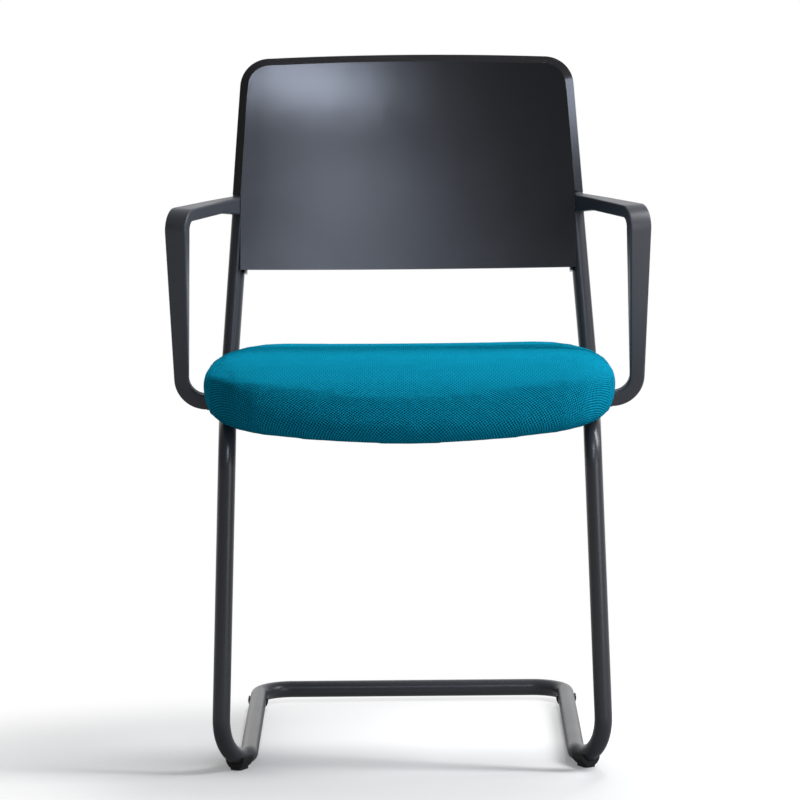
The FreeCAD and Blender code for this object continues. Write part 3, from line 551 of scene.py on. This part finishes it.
def screw_set(node_name, material, tree, keys, seed):
    """All screws of one CAD node, each in the place and size of its solid."""
    places = [screw_place(points) for points in solids_of(node_name)]
    template = link_object(node_name + "_template", screw_mesh(*places[0][2]))
    points = bpy.data.meshes.new(node_name + "_set")
    points.from_pydata([place for place, axis, sizes in places], [], [])
    axes = points.attributes.new("axis", "FLOAT_VECTOR", "POINT")
    axes.data.foreach_set("vector", np.array([axis for place, axis, sizes in places]).ravel())
    piece = link_object(node_name + "_set", points)
    grow(piece, tree, {keys["Screw"]: template, keys["Finish"]: material, keys["Turn"]: math.pi / 3,
                       keys["Seed"]: seed})
    bpy.data.objects.remove(template)
    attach(piece, BODY)
    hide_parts(node_name)


class CHAIR_OT_fasteners(ChairOperator):
    """Screws and nuts."""

    bl_idname = "chair.fasteners"
    bl_label = "Fasteners"

    def execute(self, context):
        dark = black_screw()
        tree, keys = screw_tree()
        for seed, name in enumerate(("seat_screws", "pan_screws", "backrest_screws", "arm_screws")):
            screw_set(name, dark, tree, keys, seed)
        paint_node("seat_tee_nuts", zinc_steel())
        return {"FINISHED"}


def cushion_blank(voxel):
    """Closed form of cover, foam and board together, remeshed to an even grid."""
    shape = bmesh.new()
    for name in ("seat_cover", "seat_foam", "seat_board"):
        shape.from_mesh(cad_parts[name].data)
    bmesh.ops.remove_doubles(shape, verts=shape.verts, dist=MERGE)
    mesh = bpy.data.meshes.new("seat_cushion")
    shape.to_mesh(mesh)
    shape.free()
    piece = link_object("seat_cushion", mesh)
    remesh = piece.modifiers.new("grid", "REMESH")
    remesh.mode = "VOXEL"
    remesh.voxel_size = voxel
    piece.data = settled(piece)
    return piece


def coordinates(mesh):
    """A mesh's points, one row for each."""
    points = np.zeros(len(mesh.vertices) * 3)
    mesh.vertices.foreach_get("co", points)
    return points.reshape(-1, 3)


def place_points(mesh, points):
    """Moves a mesh's points to the given rows."""
    mesh.vertices.foreach_set("co", points.ravel())
    mesh.update()


def normals_of(mesh):
    """The way out of the surface at each point, one row for each."""
    normals = np.zeros(len(mesh.vertices) * 3)
    mesh.vertices.foreach_get("normal", normals)
    return normals.reshape(-1, 3)


def swell_cushion(piece, most):
    """Fills a slightly smaller cover with air and keeps how far each point stands out, within the limit."""
    scene = bpy.context.scene
    cut = coordinates(piece.data)
    out = normals_of(piece.data)
    place_points(piece.data, cut - out * START_IN)
    cloth = piece.modifiers.new("fill", "CLOTH")
    cloth.settings.use_pressure = True
    cloth.settings.uniform_pressure_force = FILL_PRESSURE
    cloth.settings.effector_weights.gravity = 0.0
    cloth.settings.quality = 4
    cloth.collision_settings.use_collision = False
    for step in range(1, FILL_STEPS + 1):
        scene.frame_set(step)
    filled = settled(piece)
    scene.frame_set(1)
    stands = np.clip(((coordinates(filled) - cut) * out).sum(axis=1), LEAST_SWELL * most, most)
    # The underside rests on the pan, so it stays flat where it faces straight down
    stands *= np.clip((out[:, 2] + 0.97) / 0.2, 0.0, 1.0)
    bpy.data.meshes.remove(filled)
    place_points(piece.data, cut + out * stands[:, None])


def eased(values, start, end):
    """Runs smoothly from 0 at start to 1 at end."""
    share = np.clip((values - start) / (end - start), 0.0, 1.0)
    return share * share * (3 - 2 * share)


def fill_front(piece, rise):
    """Lifts the foam's top steadily towards the front, so that the seat leans back and its edge is full."""
    points = coordinates(piece.data)
    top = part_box("seat_cover")[1].z
    forward = np.clip((RISE_START - points[:, 1]) / RISE_RUN, 0.0, 1.0)
    upper = eased(points[:, 2], top - RISE_NONE_BELOW, top - RISE_FULL_ABOVE)
    points[:, 2] += rise * forward * upper
    place_points(piece.data, points)


def outline_depth(points):
    """How far each point lies inside the cushion's outline as seen from above."""
    order = sorted(map(tuple, np.unique(points.round(4), axis=0)))
    hull = []
    for run in (order, order[::-1]):
        start = len(hull)
        for x, y in run:
            while len(hull) - start >= 2:
                (ax, ay), (bx, by) = hull[-2:]
                if (bx - ax) * (y - ay) - (by - ay) * (x - ax) > 0:
                    break
                hull.pop()
            hull.append((x, y))
        hull.pop()
    corners = np.array(hull)
    edges = np.roll(corners, -1, axis=0) - corners
    inward = np.column_stack([-edges[:, 1], edges[:, 0]]) / np.linalg.norm(edges, axis=1)[:, None]
    return np.min(points @ inward.T - (corners * inward).sum(axis=1), axis=1)


def evened(mesh, vectors, rounds):
    """Averages a vector at each point with its neighbours, so that small bumps don't bend the net."""
    ends = np.zeros(len(mesh.edges) * 2, dtype=np.int64)
    mesh.edges.foreach_get("vertices", ends)
    ends = ends.reshape(-1, 2)
    count = np.bincount(ends.ravel(), minlength=len(vectors))[:, None]
    for _ in range(rounds):
        total = np.zeros_like(vectors)
        for axis in range(3):
            total[:, axis] = (np.bincount(ends[:, 0], vectors[ends[:, 1], axis], len(vectors))
                              + np.bincount(ends[:, 1], vectors[ends[:, 0], axis], len(vectors)))
        vectors = (vectors + total) / (count + 1)
    return vectors / np.maximum(np.linalg.norm(vectors, axis=1, keepdims=True), 1e-9)


def net_map(piece):
    """UV map in metres over the top, down the sides and under the edge, so that the net keeps its pitch."""
    mesh = piece.data
    points, normals = coordinates(mesh), evened(mesh, normals_of(mesh), 20)
    drop = points[:, 2].max() - points[:, 2]
    under = normals[:, 2] < 0.0
    path = drop + np.where(under, 2 * outline_depth(points[:, :2]), 0.0)
    sideways = np.linalg.norm(normals[:, :2], axis=1)
    outward = normals[:, :2] / np.where(under, np.maximum(sideways, 0.3), 1.0)[:, None]
    mapped = points[:, :2] + outward * path[:, None]
    layer = mesh.uv_layers.new(name="net")
    corners = np.zeros(len(mesh.loops), dtype=np.int64)
    mesh.loops.foreach_get("vertex_index", corners)
    layer.data.foreach_set("uv", mapped[corners].ravel())


class CHAIR_OT_seat(ChairOperator):
    """Padded seat with its net cover, its board and its underside pan."""

    bl_idname = "chair.seat"
    bl_label = "Seat"

    def execute(self, context):
        piece = cushion_blank(self.settings.voxel)
        swell_cushion(piece, self.settings.swell)
        fill_front(piece, self.settings.front_rise)
        subdivide = piece.modifiers.new("smooth", "SUBSURF")
        subdivide.levels = 1
        subdivide.render_levels = 1
        piece.data = settled(piece)
        piece.data.shade_smooth()
        net_map(piece)
        piece.data.materials.clear()
        piece.data.materials.append(seat_net(self.settings))
        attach(piece, BODY)
        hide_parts("seat_cover", "seat_foam")
        paint_node("seat_board", beech_plywood())
        smooth_copy("seat_pan", "underside_pan", pan_plastic(), 30.0)
        return {"FINISHED"}


def studio_floor(lift):
    """Matt white paper sweep: it takes the chair's shadow close by and is plain white farther off."""
    material, tree, shader = new_material("matt_white_sweep")
    shader.inputs["Roughness"].default_value = 1.0
    shader.inputs["Specular IOR Level"].default_value = 0.0
    place = add(tree, "ShaderNodeTexCoord").outputs["Object"]
    path = add(tree, "ShaderNodeLightPath").outputs
    oval = add(tree, "ShaderNodeVectorMath", {0: place, 1: OVAL_STRETCH, 2: OVAL_SHIFT},
               operation="MULTIPLY_ADD")
    away = add(tree, "ShaderNodeVectorMath", {0: oval.outputs["Vector"]}, operation="LENGTH")
    far = add(tree, "ShaderNodeMapRange",
              {"Value": away.outputs["Value"], "From Min": OVAL_INNER, "From Max": OVAL_OUTER,
               "To Min": lift, "To Max": 1.0},
              interpolation_type="SMOOTHSTEP")
    paper = add(tree, "ShaderNodeMix", {0: path["Is Camera Ray"], "A": PAPER_BOUNCE, "B": PAPER_SEEN},
                data_type="RGBA")
    tree.links.new(paper.outputs["Result"], shader.inputs["Base Color"])
    # Glossy pieces show the white floor behind the chair in full and a part of it in front
    depth = add(tree, "ShaderNodeSeparateXYZ", {"Vector": place}).outputs["Y"]
    behind = add(tree, "ShaderNodeMapRange",
                 {"Value": depth, "From Min": 0.2, "From Max": 1.5, "To Min": 0.35, "To Max": 1.0})
    shiny = add(tree, "ShaderNodeMath",
                {0: path["Is Glossy Ray"], 1: path["Is Transmission Ray"]}, operation="MAXIMUM")
    mirrored = add(tree, "ShaderNodeMath",
                   {0: shiny.outputs[0], 1: behind.outputs["Result"]}, operation="MULTIPLY")
    seen = add(tree, "ShaderNodeMath",
               {0: path["Is Camera Ray"], 1: mirrored.outputs[0]}, operation="MAXIMUM")
    share = add(tree, "ShaderNodeMath",
                {0: seen.outputs[0], 1: far.outputs["Result"]}, operation="MULTIPLY")
    white = add(tree, "ShaderNodeEmission", {"Color": (1.0, 1.0, 1.0, 1.0), "Strength": 1.0})
    both = add(tree, "ShaderNodeMixShader",
               {0: share.outputs[0], 1: shader.outputs["BSDF"], 2: white.outputs["Emission"]})
    output = next(node for node in tree.nodes if node.type == "OUTPUT_MATERIAL")
    tree.links.new(both.outputs["Shader"], output.inputs["Surface"])
    return material


def studio_room(front, back):
    """Room of the studio: a white backdrop that lights the chair from behind, and a dim room in front."""
    world = bpy.data.worlds.new("studio_room")
    world.use_nodes = True
    tree = world.node_tree
    tree.nodes.clear()
    way = add(tree, "ShaderNodeSeparateXYZ", {"Vector": add(tree, "ShaderNodeTexCoord").outputs["Generated"]})
    rear = add(tree, "ShaderNodeMapRange", {"Value": way.outputs["Y"], "From Min": 0.1, "From Max": 0.6},
               interpolation_type="SMOOTHSTEP")
    low = add(tree, "ShaderNodeMapRange", {"Value": way.outputs["Z"], "From Min": 0.6, "From Max": 0.3},
              interpolation_type="SMOOTHSTEP")
    band = add(tree, "ShaderNodeMath",
               {0: rear.outputs["Result"], 1: low.outputs["Result"]}, operation="MULTIPLY")
    light = add(tree, "ShaderNodeMapRange", {"Value": band.outputs[0], "To Min": front, "To Max": back})
    path = add(tree, "ShaderNodeLightPath").outputs
    shiny = add(tree, "ShaderNodeMath",
                {0: path["Is Glossy Ray"], 1: path["Is Transmission Ray"]}, operation="MAXIMUM")
    mirrored = add(tree, "ShaderNodeMapRange",
                   {"Value": way.outputs["Y"], "From Min": 0.5, "From Max": 0.95,
                    "To Min": 0.2, "To Max": 1.0})
    plain = add(tree, "ShaderNodeMix",
                {0: shiny.outputs[0], "A": light.outputs["Result"], "B": mirrored.outputs["Result"]},
                data_type="FLOAT")
    strength = add(tree, "ShaderNodeMix",
                   {0: path["Is Camera Ray"], "A": plain.outputs["Result"], "B": 1.0}, data_type="FLOAT")
    background = add(tree, "ShaderNodeBackground",
                     {"Color": (1.0, 1.0, 1.0, 1.0), "Strength": strength.outputs["Result"]})
    add(tree, "ShaderNodeOutputWorld", {"Surface": background.outputs["Background"]})
    return world


def area_light(name, place, target, size, power, colour, matt=True, glossy=True):
    """A softbox aimed at a target. matt and glossy say which kinds of surface take its light."""
    lamp = bpy.data.lights.new(name, "AREA")
    lamp.shape = "RECTANGLE"
    lamp.size, lamp.size_y = size
    lamp.energy = power
    lamp.color = linear(colour)[:3]
    lamp_object = link_object(name, lamp)
    lamp_object.location = place
    lamp_object.rotation_euler = (Vector(target) - Vector(place)).to_track_quat("-Z", "Y").to_euler()
    lamp_object.visible_diffuse = matt
    lamp_object.visible_glossy = glossy


def soft_lights(stage):
    """Softboxes round the chair, with places, targets and sizes in metres."""
    area_light("key_softbox", (1.95, -0.52, 2.35), (0.0, 0.0, 0.4), (0.4, 1.5), stage.key_power, "FFFFFF")
    area_light("top_softbox", (0.52, -2.4, 2.32), (0.0, 0.2, 0.8), (0.6, 0.5), stage.top_power, "DDE8FF",
               matt=False)
    area_light("front_softbox", (0.2, -2.4, 1.55), (0.0, 0.2, 0.7), (0.35, 0.3), stage.front_power, "DDE8FF")
    area_light("rear_softbox", (0.35, 1.5, 2.9), (0.0, -0.1, 0.5), (1.2, 0.6), stage.rear_power, "FFFFFF",
               glossy=False)
    area_light("rim_strip", (2.46, 0.2, 1.6), (0.2, 0.2, 0.8), (0.3, 0.7), stage.rim_power, "DDE8FF")
    area_light("front_card", (1.35, -1.65, 0.5), (0.0, 0.0, 0.4), (0.9, 1.0), stage.card_power, "F4F7FF")


def aimed_camera(stage):
    """Camera of the picture, turned by its yaw, pitch and roll."""
    camera = bpy.data.cameras.new("camera")
    camera.lens = stage.lens
    camera.sensor_width = SENSOR_WIDTH
    camera.clip_end = 100.0
    level_share = math.cos(stage.pitch)
    forward = Vector((math.sin(stage.yaw) * level_share, math.cos(stage.yaw) * level_share,
                      -math.sin(stage.pitch)))
    level = Vector((math.cos(stage.yaw), -math.sin(stage.yaw), 0.0))
    upward = level.cross(forward)
    right = math.cos(stage.roll) * level + math.sin(stage.roll) * upward
    above = -math.sin(stage.roll) * level + math.cos(stage.roll) * upward
    turn = Matrix((right, above, -forward)).transposed().to_4x4()
    eye = link_object("camera", camera)
    eye.matrix_world = Matrix.Translation(stage.camera_place) @ turn
    return eye


class CHAIR_OT_stage(ChairOperator):
    """Floor, light and camera."""

    bl_idname = "chair.stage"
    bl_label = "Stage"

    def execute(self, context):
        scene = bpy.context.scene
        stage = scene.chair_stage
        signs = ((-1, -1), (1, -1), (1, 1), (-1, 1))
        mesh = bpy.data.meshes.new("floor")
        mesh.from_pydata([(x * FLOOR_REACH, y * FLOOR_REACH, 0.0) for x, y in signs], [], [(0, 1, 2, 3)])
        mesh.materials.append(studio_floor(stage.sweep_lift))
        link_object("floor", mesh)
        scene.world = studio_room(stage.room_light, stage.backdrop_light)
        soft_lights(stage)
        scene.camera = aimed_camera(stage)
        scene.view_settings.view_transform = "Standard"
        return {"FINISHED"}


class CHAIR_PT_panel(bpy.types.Panel):
    """Lists the chair's operators and settings."""

    bl_idname = "CHAIR_PT_panel"
    bl_label = "Chair"
    bl_space_type = "VIEW_3D"
    bl_region_type = "UI"
    bl_category = "Chair"

    def draw(self, context):
        for operator in OPERATORS:
            self.layout.operator(operator.bl_idname)
        for name in ChairSettings.__annotations__:
            self.layout.prop(context.scene.chair_settings, name)
        for name in StageSettings.__annotations__:
            self.layout.prop(context.scene.chair_stage, name)


OPERATORS = (CHAIR_OT_stage, CHAIR_OT_frame, CHAIR_OT_back, CHAIR_OT_arms, CHAIR_OT_seat, CHAIR_OT_fasteners)
CLASSES = (ChairSettings, StageSettings, *OPERATORS, CHAIR_PT_panel)


def register():
    for cls in CLASSES:
        bpy.utils.register_class(cls)
    bpy.types.Scene.chair_settings = bpy.props.PointerProperty(type=ChairSettings)
    bpy.types.Scene.chair_stage = bpy.props.PointerProperty(type=StageSettings)


def unregister():
    del bpy.types.Scene.chair_stage
    del bpy.types.Scene.chair_settings
    for cls in reversed(CLASSES):
        bpy.utils.unregister_class(cls)


def main():
    register()
    bpy.ops.chair.stage()
    bpy.ops.chair.frame()
    bpy.ops.chair.back()
    bpy.ops.chair.arms()
    bpy.ops.chair.seat()
    bpy.ops.chair.fasteners()


if __name__ == "__main__":
    main()
